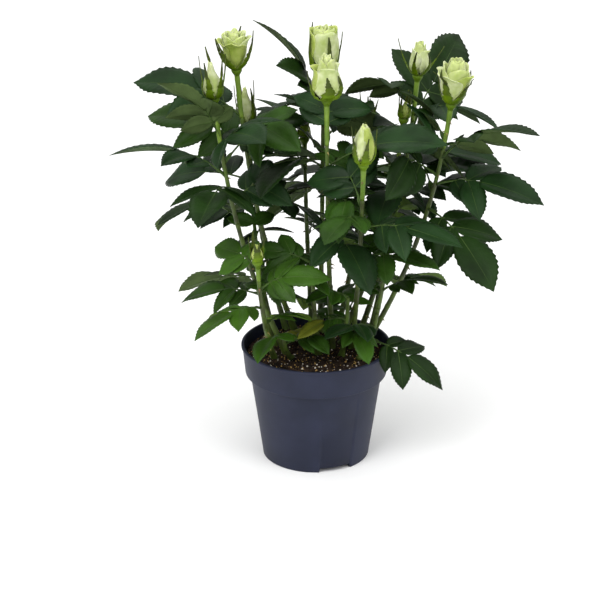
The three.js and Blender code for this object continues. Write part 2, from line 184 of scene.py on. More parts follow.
# Buds: length and belly of the petals, the tones that the outside petals take in turn, rings of petals from
# outside in, and the sepals. A ring is its count, each petal's span, its height, four radii from foot to
# rim, and how far its lip rolls out, as shares of the length and the belly. The sepals have a length, half a
# width, a tilt, how closely they follow the petals, and the first one's turn round the bud.
BUDS = {
    "open": (
        34, 11.5, ("lime", "lime", "cream"),
        ((4, 125, 0.84, (0.28, 0.7, 0.86, 1.0), 0.3), (4, 140, 0.9, (0.24, 0.62, 0.74, 0.8), 0.12),
         (4, 150, 0.95, (0.18, 0.5, 0.58, 0.56), 0.06), (3, 165, 0.96, (0.12, 0.34, 0.38, 0.3), 0.03)),
        (34, 3.8, 28, 0.5, 20),
    ),
    "barrel": (
        40, 12.0, ("lime", "cream"),
        ((3, 165, 0.95, (0.6, 1.0, 1.0, 0.86), 0.1), (3, 165, 0.97, (0.5, 0.84, 0.84, 0.64), 0.05),
         (3, 165, 1.0, (0.36, 0.64, 0.62, 0.38), 0.0), (3, 170, 0.98, (0.2, 0.36, 0.32, 0.16), 0.0)),
        (37, 4.6, 15, 0.9, 69),
    ),
    "flared": (
        38, 13.0, ("cream", "lime", "cream"),
        ((4, 120, 0.75, (0.26, 0.74, 0.9, 1.0), 0.26), (3, 150, 0.88, (0.22, 0.7, 0.8, 0.76), 0.08),
         (3, 165, 1.0, (0.16, 0.56, 0.62, 0.4), 0.0), (3, 170, 1.0, (0.1, 0.34, 0.4, 0.2), 0.0)),
        (30, 4.8, 19, 0.95, 20),
    ),
    "half": (
        38, 12.5, ("cream", "cream", "lime"),
        ((3, 150, 0.8, (0.42, 0.98, 0.84, 0.7), 0.28), (3, 160, 0.94, (0.34, 0.8, 0.64, 0.42), 0.06),
         (3, 170, 1.0, (0.2, 0.6, 0.46, 0.26), 0.0), (3, 175, 1.0, (0.1, 0.34, 0.28, 0.12), 0.0)),
        (26, 6.4, 26, 0.7, 50),
    ),
    "small": (
        29, 8.5, ("cream", "cream", "lime"),
        ((3, 150, 0.84, (0.3, 0.9, 0.84, 0.72), 0.24), (3, 160, 0.95, (0.24, 0.72, 0.64, 0.42), 0.05),
         (3, 170, 1.0, (0.14, 0.46, 0.4, 0.2), 0.0)),
        (34, 2.6, 38, 0.25, 20),
    ),
    "plump": (
        34, 8.6, ("cream", "lime"),
        ((3, 180, 0.96, (0.4, 1.0, 0.84, 0.36), 0.03), (3, 175, 0.99, (0.3, 0.82, 0.68, 0.24), 0.0),
         (3, 170, 1.0, (0.16, 0.5, 0.42, 0.14), 0.0)),
        (33, 3.6, 14, 0.95, 65),
    ),
    "tight": (
        31, 7.8, ("cream", "lime"),
        ((3, 180, 0.94, (0.5, 1.0, 0.6, 0.2), 0.0), (3, 175, 1.0, (0.26, 0.7, 0.44, 0.12), 0.0)),
        (38, 3.4, 13, 0.9, 20),
    ),
    "green": (
        15, 4.6, ("lime",),
        ((3, 180, 0.96, (0.5, 1.0, 0.66, 0.14), 0.0),),
        (24, 3.4, 9, 1.0, 20),
    ),
}
PETAL_ROWS = 15
PETAL_COLUMNS = 13
PETAL_THICKNESS = 0.4
PETAL_TURN = 47  # each ring of petals is turned on from the one outside it
PETAL_TUCK = 0.06  # shares of the belly: one edge in and one out, waves at the rim, fine creases
PETAL_RIPPLE = 0.05
PETAL_CREASE = 0.025
SEPALS = 5
SEPAL_ROWS = 25
SEPAL_COLUMNS = (-1, -0.5, 0, 0.5, 1)
SEPAL_FOOT = (2.6, -0.8)  # out from the bud's axis, and along it
SEPAL_THICKNESS = 0.4
SEPAL_RIDGE = 0.45  # how far its middle stands off, and its edges
SEPAL_EDGE = 0.15
REACH_WINDOW = 0.35  # radians of petal either side of a sepal that it has to clear
REACH_BAND = 1.8  # and the height of petal above and below
REACH_FALL = 0.4  # how fast that reach may shrink from one row to the next
HIP_SIDES = 20
SEPAL_SLOTS = np.repeat([0, 3, 4], [11, 6, 7])  # row by row: its skin, the darker middle and the tip
SEPAL_STANDOFF = 0.55
SEPAL_WIDTHS = ((0, 0.12, 0.28, 0.45, 0.62, 0.8, 0.92, 1), (0.7, 1.05, 1.0, 0.78, 0.5, 0.3, 0.18, 0.05))
HIP = ((-8, 2.0), (-6, 2.3), (-4.4, 3.2), (-2.6, 4.3), (-0.9, 4.6), (0.6, 3.8), (1.4, 1.5))

# The photograph's view
CAMERA_PITCH = 22.3
CAMERA_DISTANCE = 2000.0
CAMERA_TARGET = (-13.9, 0.0, 143.0)
FOCAL_PIXELS = 2318.0
FRAME_PIXELS = 600
SENSOR_WIDTH = 36.0
HORIZON_LIGHT = 0.2
OVERHEAD_LIGHT = 1.6
# Lamps, aimed at AIM: place and size in metres, and power in watts
LAMPS = (("key", (-0.9, -1.3, 1.7), 1.2, 24), ("fill", (1.2, -1.0, 1.1), 1.2, 9))
AIM = (0, 0, 0.2)
FLOOR_SIZE = 12  # metres


def srgb(red, green, blue):
    """A linear colour from an sRGB one in 0 to 255."""
    channels = (red / 255, green / 255, blue / 255)
    linear = [c / 12.92 if c <= 0.04045 else ((c + 0.055) / 1.055) ** 2.4 for c in channels]
    return (*linear, 1.0)


def unit(vector):
    return vector / max(1e-9, math.sqrt(float(vector @ vector)))


def rotated(vector, axis, angle):
    """vector turned about a unit axis by an angle in radians."""
    cosine, sine = math.cos(angle), math.sin(angle)
    return vector * cosine + np.cross(axis, vector) * sine + axis * float(axis @ vector) * (1 - cosine)


def draws(seed):
    """A repeatable source of draws between 0 and 1, the same as the solids' own."""
    mask = 0xFFFFFFFF
    state = seed & mask

    def draw():
        nonlocal state
        state = (state + 0x6D2B79F5) & mask
        mixed = ((state ^ (state >> 15)) * (state | 1)) & mask
        mixed ^= (mixed + (((mixed ^ (mixed >> 7)) * (mixed | 61)) & mask)) & mask
        return ((mixed ^ (mixed >> 14)) & mask) / 4294967296

    return draw


class Curve:
    """A quadratic curve from a start to an end, pulled by a handle."""

    def __init__(self, start, handle, end):
        self.start, self.handle, self.end = start, handle, end

    def point(self, share):
        rest = 1 - share
        return rest * rest * self.start + 2 * rest * share * self.handle + share * share * self.end

    def tangent(self, share):
        return unit((self.handle - self.start) * (1 - share) + (self.end - self.handle) * share)

    def length(self):
        points = np.array([self.point(s) for s in np.linspace(0, 1, 40)])
        return float(np.linalg.norm(np.diff(points, axis=0), axis=1).sum())


def cane_path(shoot):
    start = np.array([shoot.foot_x, shoot.foot_y, SOIL_TOP], float)
    end = np.array([shoot.x, shoot.y, shoot.z], float)
    return Curve(start, start + (end - start) * np.array([CANE_LEAN, CANE_LEAN, CANE_RISE]), end)


def cane_radius(share, neck=0.0):
    """A cane's radius; under a bud its neck widens by a little more than the solids' does."""
    flare = FOOT_FLARE * math.exp(-max(share, 0) / FLARE_SHARE) + neck * math.exp((share - 1) / NECK_SHARE)
    return CANE_FOOT_RADIUS + (CANE_TIP_RADIUS - CANE_FOOT_RADIUS) * share + flare


Leaf = namedtuple("Leaf", "rachis leaflets")
Leaflet = namedtuple("Leaflet", "place base along normal length curl tone", defaults=[None])


def compound_leaf(root, azimuth, rise, size, outward, draw):
    """One leaf: the curve of its rachis, then two pairs of leaflets and an end one."""
    level = np.array([math.cos(azimuth), math.sin(azimuth), 0])
    start = level * math.cos(rise) + UP * math.sin(rise)
    reach = RACHIS_LENGTH * size * (0.9 + 0.2 * draw())
    droop = 0.35 + 0.35 * draw()
    roll = (draw() - 0.5) * 2 * math.radians(LEAF_ROLL)
    rachis = Curve(root, root + start * reach / 2, root + start * reach - UP * reach * droop / 2)

    def frame_at(share):
        along = rachis.tangent(share)
        lit = UP + outward * LEAN_OUT
        normal = rotated(unit(lit - along * float(lit @ along)), along, -roll)
        return along, normal, np.cross(normal, along)

    leaflets = []
    for place, scale, spread in LEAFLET_PAIRS:
        along, normal, side = frame_at(place)
        for hand in (-1, 1):
            angle = math.radians(spread + (draw() - 0.5) * SPREAD_DRAW)
            away = unit(along * math.cos(angle) + side * hand * math.sin(angle) - normal * 0.12)
            face = unit(normal - away * float(normal @ away))
            length = LATERAL_LEAFLET * size * scale * (0.92 + 0.16 * draw())
            leaflets.append(Leaflet(place, rachis.point(place), away, face, length, 0.16 + 0.14 * draw()))
    along, normal, _ = frame_at(1)
    length = TERMINAL_LEAFLET * size * (0.92 + 0.16 * draw())
    leaflets.append(Leaflet(1, rachis.point(1), along, normal, length, 0.12 + 0.22 * draw()))
    return Leaf(rachis, leaflets)


def leaf_at(shoot, height, azimuth, rise, scale, draw):
    """A leaf of a shoot, at a height between its first leaf, 0, and its last, 1."""
    root = cane_path(shoot).point(shoot.first + (shoot.last - shoot.first) * height)
    size = shoot.size * (0.86 + 0.2 * math.sin(math.pi * (0.15 + 0.75 * height))) * scale
    outward = np.array([root[0] / CROWN_RADIUS, root[1] / CROWN_RADIUS, 0])
    return compound_leaf(root, math.radians(azimuth), math.radians(rise), size, outward, draw)


class Batch:
    """Meshes of one kind, joined into one piece."""

    def __init__(self):
        self.points, self.faces, self.slots, self.count = [], [], [], 0

    def add(self, points, faces, slot=0):
        """Adds points, and faces as one array, or as several for several sizes."""
        for array in faces if isinstance(faces, (list, tuple)) else [faces]:
            self.faces.append(np.asarray(array) + self.count)
            self.slots.append(np.broadcast_to(slot, len(array)))
        self.points.append(points)
        self.count += len(points)


def new_object(name, data):
    made = bpy.data.objects.new(name, data)
    bpy.context.scene.collection.objects.link(made)
    return made


def build_piece(name, batch, materials):
    """Makes the object of a batch, smooth-shaded, riding on the plant."""
    points = np.concatenate(batch.points) * MM
    sizes = np.concatenate([np.full(len(f), f.shape[1]) for f in batch.faces])
    corners = np.concatenate([f.reshape(-1) for f in batch.faces])
    mesh = bpy.data.meshes.new(name)
    mesh.vertices.add(len(points))
    mesh.vertices.foreach_set("co", points.reshape(-1))
    mesh.loops.add(len(corners))
    mesh.loops.foreach_set("vertex_index", corners.astype(np.int32))
    mesh.polygons.add(len(sizes))
    starts = np.concatenate([[0], np.cumsum(sizes)[:-1]])
    mesh.polygons.foreach_set("loop_start", starts.astype(np.int32))
    mesh.polygons.foreach_set("material_index", np.concatenate(batch.slots).astype(np.int32))
    mesh.update(calc_edges=True)
    mesh.validate()
    mesh.shade_smooth()
    for material in materials:
        mesh.materials.append(material)
    piece = new_object(name, mesh)
    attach(piece, "root")
    return piece


@cache
def thick_faces(rows, columns):
    """The faces of a grid and its underside, and which of them are the underside's."""
    index = np.arange(rows * columns).reshape(rows, columns)
    a, b, c, d = index[:-1, :-1], index[1:, :-1], index[1:, 1:], index[:-1, 1:]
    top = np.concatenate([np.stack([a, b, c], -1), np.stack([a, c, d], -1)]).reshape(-1, 3)
    under = top[:, ::-1] + rows * columns
    loop = np.concatenate([index[:-1, 0], index[-1, :-1], index[:0:-1, -1], index[0, :0:-1]])
    following = np.roll(loop, -1)
    low, following_low = loop + rows * columns, following + rows * columns
    rim = [np.stack([following, loop, low], -1), np.stack([following, low, following_low], -1)]
    slots = np.repeat([0, 1, 0], [len(top), len(under), 2 * len(loop)])
    return np.concatenate([top, under, *rim]), slots


def row_slots(rows, columns):
    """The slots of a sheet's faces, as thick_faces lists them, from one slot for each row of faces."""
    top = np.tile(np.repeat(rows, columns - 1), 2)
    ends = [np.repeat(rows[end], columns - 1) for end in (-1, 0)]
    rim = np.concatenate([rows, ends[0], rows[::-1], ends[1]])
    return np.concatenate([top, np.where(top == 0, 1, top), rim, rim])


def add_sheet(batch, grid, thickness, row_slot=None):
    """Adds a grid as a thin closed sheet. Its underside is in slot 1 where its upper side is in slot 0."""
    rows, columns = grid.shape[:2]
    normals = np.cross(np.gradient(grid, axis=0), np.gradient(grid, axis=1))
    normals /= np.maximum(np.linalg.norm(normals, axis=2, keepdims=True), 1e-9)
    points = np.concatenate([grid.reshape(-1, 3), (grid - normals * thickness).reshape(-1, 3)])
    faces, slots = thick_faces(rows, columns)
    batch.add(points, faces, slots if row_slot is None else row_slots(row_slot, columns))


def ring_faces(rings, sides):
    """The walls and the end caps of rings of points, which the middles of both ends follow."""
    index = np.arange(rings * sides).reshape(-1, sides)
    shifted = np.roll(index, -1, axis=1)
    walls = np.stack([index[:-1], shifted[:-1], shifted[1:], index[1:]], -1).reshape(-1, 4)
    foot, tip = rings * sides, rings * sides + 1
    caps = [[foot, b, a] for a, b in zip(index[0], shifted[0])]
    caps += [[tip, a, b] for a, b in zip(index[-1], shifted[-1])]
    return [walls, np.array(caps)]


def add_tube(batch, centres, radii, sides, slot=0):
    """Adds a closed tube through centres. radii is one a ring, or one for each ring and side."""
    centres = np.asarray(centres, float)
    radii = np.asarray(radii, float)
    if radii.ndim == 1:
        radii = np.repeat(radii[:, None], sides, axis=1)
    along = np.gradient(centres, axis=0)
    across = unit(np.cross(along[0], (1, 0, 0) if abs(unit(along[0])[2]) > 0.8 else UP))
    angles = np.arange(sides) * 2 * math.pi / sides
    rings = []
    for centre, direction, radius in zip(centres, along, radii):
        direction = unit(direction)
        across = unit(across - direction * float(across @ direction))
        third = np.cross(direction, across)
        ring = np.outer(np.cos(angles) * radius, across) + np.outer(np.sin(angles) * radius, third)
        rings.append(centre + ring)
    batch.add(np.concatenate([*rings, centres[:1], centres[-1:]]), ring_faces(len(rings), sides), slot)


def blade_template():
    """The unit blade: places along and across, relief, and the two grid shares they come from."""
    rows = 2 * TEETH + 1
    along, across = np.meshgrid(np.linspace(0, 1, rows), BLADE_COLUMNS, indexing="ij")
    out = np.abs(across)
    tooth = (np.arange(rows) % 2)[:, None] * out**4
    body = np.sin(math.pi * along)
    x = along + VEIN_SLANT * out * body + 0.02 * tooth * body
    half = LEAF_WIDTH * 3.1 * (along + 0.002) ** 0.6 * (1.002 - along) ** 1.18
    y = across * half * (1 + TOOTH_DEPTH * (tooth - 0.5 * out**4))
    between = (np.arange(rows) % 2 == 0)[:, None]
    relief = QUILT * between * out * (1 - out) * 4 * body - 0.006 * (across == 0) * body
    return x, y, relief, along, across


BLADE = blade_template()


def blade_points(leaflet, draw):
    """A leaflet's grid: the solids' blade, serrated, quilted, and bent a little in its own way."""
    x, y, relief, along, across = BLADE
    ripple = 0.022 * draw()
    phase = 2 * math.pi * draw()
    twist = (draw() - 0.5) * 0.7
    bend = (draw() - 0.5) * 0.16
    edge = FOLD * (0.8 + 1.3 * draw()) * np.abs(y) * (1.25 - 0.55 * across**2)
    wave = ripple * across**2 * np.sin(phase + 9 * along + across) * np.sin(math.pi * along)
    lift = relief + edge + wave - leaflet.curl * x * x
    turn = twist * x
    sideways = y * np.cos(turn) + bend * x * x * (1 - 0.3 * x)
    lift = lift + y * np.sin(turn)
    side = np.cross(leaflet.normal, leaflet.along)
    grid = x[..., None] * leaflet.along + sideways[..., None] * side + lift[..., None] * leaflet.normal
    return leaflet.base + leaflet.length * grid


def proxy(leaflet, swell):
    """A leaflet as a few faces, for the test that keeps leaves apart."""
    side = np.cross(leaflet.normal, leaflet.along)

    def place(x, y, lift):
        return (
            leaflet.base
            + leaflet.along * x * leaflet.length
            + side * y
            + leaflet.normal * (lift + FOLD * abs(y) - leaflet.curl * leaflet.length * x * x)
        )

    wide = LEAF_WIDTH * leaflet.length
    edge = [(0.08, 0.25), (0.28, 1.0), (0.68, 0.76)]
    right = [place(x, -share * wide, 0) for x, share in edge]
    left = [place(x, share * wide, 0) for x, share in edge[::-1]]
    around = [place(0.04, 0, 0), *right, place(1, 0, 0), *left]
    points = [*around, place(0.45, 0, swell), place(0.45, 0, -swell)]
    top, under, count = len(around), len(around) + 1, len(around)
    faces = [(top, i, (i + 1) % count) for i in range(count)]
    faces += [(under, (i + 1) % count, i) for i in range(count)]
    return points, faces


class Space:
    """What has been placed, so that a new leaf can keep clear of it."""

    def __init__(self):
        self.points, self.faces, self.owners, self.tree = [], [], [], None

    def add(self, owner, points, faces):
        offset = len(self.points)
        self.points += [Vector(p) for p in points]
        self.faces += [tuple(offset + i for i in face) for face in faces]
        self.owners += [owner] * len(faces)
        self.tree = None

    def hits(self, points, faces, excused=None):
        """Whether some faces touch anything but the pieces of the excused owner."""
        if self.tree is None:
            self.tree = BVHTree.FromPolygons(self.points, self.faces)
        pairs = BVHTree.FromPolygons([Vector(p) for p in points], faces).overlap(self.tree)
        return any(self.owners[face] != excused for _, face in pairs)


def prism(curve, start, end, radius, steps):
    """A three-sided prism along a curve, as points and faces for Space."""
    points, faces = [], []
    for i, share in enumerate(np.linspace(start, end, steps)):
        along = curve.tangent(share)
        across = unit(np.cross(along, (1, 0, 0) if abs(along[2]) > 0.8 else UP))
        third = np.cross(along, across)
        for turn in (0, 120, 240):
            angle = math.radians(turn)
            points.append(curve.point(share) + radius * (across * math.cos(angle) + third * math.sin(angle)))
        if i:
            for k in range(3):
                low, high = 3 * (i - 1) + k, 3 * (i - 1) + (k + 1) % 3
                faces.append((low, high, high + 3, low + 3))
    return points, faces


def grow_leaves():
    """Every leaf of the plant with its shoot: the solids' own leaves first, then those between them."""
    space = Space()
    for shoot in SHOOTS:
        space.add(shoot.name, *prism(cane_path(shoot), 0, 1, CANE_PROBE, 12))
        if shoot.bud:
            length, belly = BUDS[shoot.bud][:2]
            tip, axis = cane_path(shoot).point(1), cane_path(shoot).tangent(1)
            bud = Curve(tip, tip + axis * length / 2, tip + axis * length)
            space.add(shoot.name, *prism(bud, 0, 1, belly, 3))
    turns = np.linspace(0, 2 * math.pi, RIM_PROBES + 1)[:-1]
    low, rim, soil = (
        [RIM_RADIUS * np.array([math.cos(a), math.sin(a), 0]) + UP * height for a in turns]
        for height in (POT_PROBE_FOOT, POT_HEIGHT, SOIL_TOP)
    )
    pairs = [(i, (i + 1) % RIM_PROBES) for i in range(RIM_PROBES)]
    space.add("pot", low + rim, [(i, j, RIM_PROBES + j, RIM_PROBES + i) for i, j in pairs])
    space.add("soil", soil, [tuple(range(RIM_PROBES))])
    grown = []
    for shoot in SHOOTS:
        leaves = shoot_leaves(space, shoot, shoot.seed, 0, shoot.turn, 1, excused=shoot.name)
        grown += [(shoot.tone, leaf) for leaf in leaves]
    for shoot in SHOOTS:
        leaves = shoot_leaves(space, shoot, len(SHOOTS) + shoot.seed, 0.5, shoot.turn + 180, BETWEEN_SCALE)
        if shoot.name == OLD_SHOOT:
            leaflets = leaves[0].leaflets
            leaflets[-1] = leaflets[-1]._replace(tone="yellowed")
        grown += [(LEAF_TONES[shoot.tone][2], leaf) for leaf in leaves]
    return grown


def shoot_leaves(space, shoot, seed, offset, turn, scale, excused=None):
    """Leaves up a shoot, set off by a share of a step from the places of the solids' own leaves.

    Like the solids' rule, it skips what would touch other shoots, and where none is excused its own too.
    """
    draw = draws(seed)
    kept = []
    for k in range(shoot.leaves - math.ceil(offset)):
        height = (k + offset) / (shoot.leaves - 1)
        azimuth = turn + (k + offset) * DIVERGENCE + (draw() - 0.5) * TURN_DRAW
        rise = shoot.rise + RISE_GAIN * height + (draw() - 0.5) * RISE_DRAW
        leaf = leaf_at(shoot, height, azimuth, rise, scale * (0.9 + 0.2 * draw()), draw)
        stalk = prism(leaf.rachis, 0.12, 1.0, STALK_PROBE, 4)
        if space.hits(*stalk, excused):
            continue
        clear = [one for one in leaf.leaflets if not space.hits(*proxy(one, LEAF_CLEARANCE), excused)]
        for leaflet in clear:
            space.add(shoot.name, *proxy(leaflet, LEAF_CLEARANCE))
        space.add(shoot.name, *stalk)
        if clear:
            kept.append(leaf._replace(leaflets=clear))
    return kept


def add_leaf(leaf, tone, blades, ribs, draw):
    """Adds a leaf's blades to the batch of their tone, and its stalk, stipules and midribs to another."""
    shares = np.linspace(0, max(leaflet.place for leaflet in leaf.leaflets), STALK_POINTS)
    stalk = [leaf.rachis.point(s) for s in shares]
    add_tube(ribs, stalk, 0.62 + 0.55 * np.exp(-shares * 9) + 0.25 * (1 - shares), STALK_SIDES)
    for hand in (-1, 1):
        add_stipule(ribs, leaf.rachis, hand)
    for leaflet in leaf.leaflets:
        grid = blade_points(leaflet, draw)
        add_sheet(blades[leaflet.tone or tone], grid, BLADE_THICKNESS)
        middle = grid[::2, len(BLADE_COLUMNS) // 2]
        drop = leaflet.normal * 0.5 * BLADE_THICKNESS
        middle = np.concatenate([[leaflet.base], middle[1:-1] - drop])
        add_tube(ribs, middle, np.linspace(*MIDRIB_RADII, len(middle)), MIDRIB_SIDES)


def add_stipule(batch, rachis, hand):
    """A narrow wing on one side of a leaf stalk's foot."""
    grid = np.zeros((STIPULE_ROWS, 2, 3))
    for i, share in enumerate(np.linspace(0.01, STIPULE_REACH, STIPULE_ROWS)):
        along = rachis.tangent(share)
        side = unit(np.cross(UP, along)) * hand
        spread = STIPULE_WIDTH * math.sin(math.pi * (0.12 + 0.86 * i / (STIPULE_ROWS - 1))) ** 0.7
        grid[i, 0] = rachis.point(share)
        grid[i, 1] = rachis.point(share) + side * spread + UP * 0.25 * spread
    add_sheet(batch, grid if hand < 0 else grid[:, ::-1], STIPULE_THICKNESS)


def bark_tube(batch, path, start, end, seed, neck=0.0, sides=BARK_SIDES, slot=0):
    """A cane or stem: tapered, swollen at its joints, with the fine ridges of young bark."""
    rings = max(8, int(path.length() * (end - start) / BARK_RING_STEP))
    shares = np.linspace(start, end, rings)
    centres = np.array([path.point(s) for s in shares])
    radii = np.zeros((rings, sides))
    for i, (share, centre) in enumerate(zip(shares, centres)):
        joint = JOINT_SWELL * math.exp(-(((share * JOINTS + seed % 7) % 1 - 0.5) / 0.09) ** 2)
        for k in range(sides):
            spot = Vector((k * 1.7, centre[2] * 0.16, seed))
            radii[i, k] = cane_radius(share, neck) + joint + BARK_RIDGE * noise.noise(spot)
    add_tube(batch, centres, radii, sides, slot)


def add_prickles(batch, path, start, end, count, draw):
    """Flat-based, down-curved prickles here and there on a cane."""
    for _ in range(count):
        share = start + (end - start) * draw()
        turn = 2 * math.pi * draw()
        size = 2.0 + 1.6 * draw()
        along = path.tangent(share)
        level = unit(np.cross(along, (1.0, 0, 0)))
        out = rotated(level, along, turn)
        foot = path.point(share) + out * (cane_radius(share) - 0.5)
        spine = Curve(foot, foot + out * size * 0.7, foot + out * (size + 0.4) - along * size * 0.55)
        centres = [spine.point(share) for share, _ in PRICKLE]
        add_tube(batch, centres, [radius for _, radius in PRICKLE], PRICKLE_SIDES)


def petal_grid(turn, span, height, radii, lip, draw):
    """A cupped petal round the bud's axis, its inner face up. radii run from its foot to its rim."""
    up, across = np.meshgrid(np.linspace(0, 1, PETAL_ROWS), np.linspace(-1, 1, PETAL_COLUMNS), indexing="ij")
    belly = max(radii)
    pointed = min(1, 8 * lip / belly)
    spread = (0.3 + 0.7 * np.sin(np.minimum(up / 0.7, 1) * math.pi / 2)) * np.sqrt(
        1 - 0.6 * pointed * np.maximum(0, (up - 0.7) / 0.3) ** 2
    )
    angle = turn + across * math.radians(span) / 2 * spread
    phase, wave = 6 * draw(), 0.5 + 0.8 * draw()
    middle = (1 - np.abs(across)) ** 1.3
    rolled = np.maximum(0, (up - 0.6) / 0.4) ** 2 * (0.35 + 0.9 * middle)
    rolled = rolled * (1 + 0.4 * wave * np.sin(5 * across + phase))
    radius = np.polyval(np.polyfit((0, 1 / 3, 2 / 3, 1), radii, 3), up)
    tuck = PETAL_TUCK * belly * across * up
    ripple = PETAL_RIPPLE * wave * belly * np.sin(4 * across + phase) * up**4
    crease = PETAL_CREASE * belly * np.sin(9 * across + 2 * phase) * up**2
    radius = np.maximum(radius + tuck + ripple + crease + lip * rolled, 0.4)
    droop = 0.05 + 0.09 * pointed
    z = height * (up - droop * across**2 * up**3 + 0.03 * wave * np.sin(6 * across + phase) * up**5)
    z = z - 0.7 * lip * rolled**1.5 + 0.05 * pointed * height * middle * up**6
    return np.stack([radius * np.cos(angle), radius * np.sin(angle), z], -1)


def petal_radii(petals, angle, heights):
    """How far the petals reach at a turn of the bud's axis, at each of the heights."""
    radius = np.hypot(petals[:, 0], petals[:, 1])
    off = np.abs((np.arctan2(petals[:, 1], petals[:, 0]) - angle + math.pi) % (2 * math.pi) - math.pi)
    radius, level = radius[off < REACH_WINDOW], petals[off < REACH_WINDOW, 2]
    reach = [max(radius[np.abs(level - z) < REACH_BAND], default=0.0) for z in heights]
    for i in range(1, len(reach)):
        reach[i] = max(reach[i], reach[i - 1] - REACH_FALL)
    return reach


def sepal_grid(turn, length, half_width, tilt, hug, belly, bud_length, petals, draw):
    """A sepal with a long, ragged tip, which lies on the petals and then stands off them."""
    shares = np.linspace(0, 1, SEPAL_ROWS)
    swing = math.radians(tilt + (draw() - 0.5) * 16)
    length = length * (0.85 + 0.3 * draw())
    foot = np.array(SEPAL_FOOT)
    shoulder = np.array([belly * (1.1 + 0.25 * (1 - hug)), bud_length * 0.16])
    profile = Curve(foot, shoulder, np.array([2 + length * math.sin(swing), length * math.cos(swing)]))
    curl, bow = (draw() - 0.5) * 0.8, (draw() - 0.4) * 5
    widths = half_width * np.interp(shares, *SEPAL_WIDTHS)
    points = [profile.point(share) for share in shares]
    reach = petal_radii(petals, turn, [z for _, z in points])
    grid = np.zeros((SEPAL_ROWS, len(SEPAL_COLUMNS), 3))
    for i, share in enumerate(shares):
        z = points[i][1]
        radius = max(points[i][0], reach[i] + SEPAL_STANDOFF) if z > 1 else points[i][0]
        ragged = 0.7 * (share > 0.3) * (share < 0.95)
        edges = [1 + ragged * (draw() - 0.4), 1 + ragged * (draw() - 0.4)]
        for k, across in enumerate(SEPAL_COLUMNS):
            half = widths[i] * edges[across > 0]
            angle = turn + (across * half + bow * math.sin(3 * share)) / max(radius, 4.0) + curl * share**2
            away = radius + SEPAL_RIDGE * (1 - abs(across)) + SEPAL_EDGE * abs(across)
            grid[i, k] = (away * math.cos(angle), away * math.sin(angle), z)
    return grid


def onto(grid, tip, axis):
    """A grid modelled round +Z, moved onto a bud's tip and axis."""
    turned = Vector((0, 0, 1)).rotation_difference(Vector(axis)).to_matrix()
    return tip + grid @ np.array(turned).T


def add_bud(shoot, petals, sepals, draw):
    """A bud on the end of its stem: hip, rings of petals, and five sepals."""
    length, belly, tones, rings, (sepal_length, half_width, tilt, hug, first_sepal) = BUDS[shoot.bud]
    path = cane_path(shoot)
    tip, axis = path.point(1), path.tangent(1)
    add_tube(sepals, [tip + axis * z for z, _ in HIP], [radius for _, radius in HIP], HIP_SIDES, 2)
    first = 360 * draw()
    outer = []
    for level, (count, span, height, radii, lip) in enumerate(rings):
        for i in range(count):
            turn = math.radians(first + 360 / count * (i + 0.18 * (draw() - 0.5)) + PETAL_TURN * level)
            shape = [belly * r * (0.97 + 0.06 * draw()) for r in radii]
            tall = length * height * (0.96 + 0.06 * draw())
            rolled = lip * belly * (0.5 + 1.1 * draw())
            grid = petal_grid(turn, span, tall, shape, rolled, draw)
            batch = petals["inner" if level else tones[i % len(tones)]]
            add_sheet(batch, onto(grid, tip, axis), PETAL_THICKNESS)
            if level == 0:
                outer.append(grid.reshape(-1, 3))
    outer = np.concatenate(outer)
    for i in range(SEPALS):
        turn = math.radians(first_sepal + 360 / SEPALS * i)
        grid = sepal_grid(turn, sepal_length, half_width, tilt, hug, belly, length, outer, draw)
        add_sheet(sepals, onto(grid, tip, axis), SEPAL_THICKNESS, SEPAL_SLOTS)


def rounded(profile, radius, steps=4):
    """A closed run of (radius, height) corners with each inner corner rounded off."""
    points = [np.array(p, float) for p in profile]
    result = [points[0]]
    for before, corner, after in zip(points, points[1:], points[2:]):
        reach = min(radius, 0.45 * np.linalg.norm(before - corner), 0.45 * np.linalg.norm(after - corner))
        arc = Curve(corner + unit(before - corner) * reach, corner, corner + unit(after - corner) * reach)
        result += [arc.point(s) for s in np.linspace(0, 1, steps)]
    return np.array([*result, points[-1]])


def add_turned(batch, profile, sides):
    """A body turned round Z from a profile that starts and ends on the axis."""
    angles = np.arange(sides) * 2 * math.pi / sides
    inner = profile[1:-1]
    ring = np.stack([np.cos(angles), np.sin(angles)], -1)
    points = np.zeros((len(inner), sides, 3))
    points[..., :2] = inner[:, None, :1] * ring[None]
    points[..., 2] = inner[:, None, 1]
    poles = np.array([[0, 0, profile[0][1]], [0, 0, profile[-1][1]]])
    batch.add(np.concatenate([points.reshape(-1, 3), poles]), ring_faces(len(inner), sides))


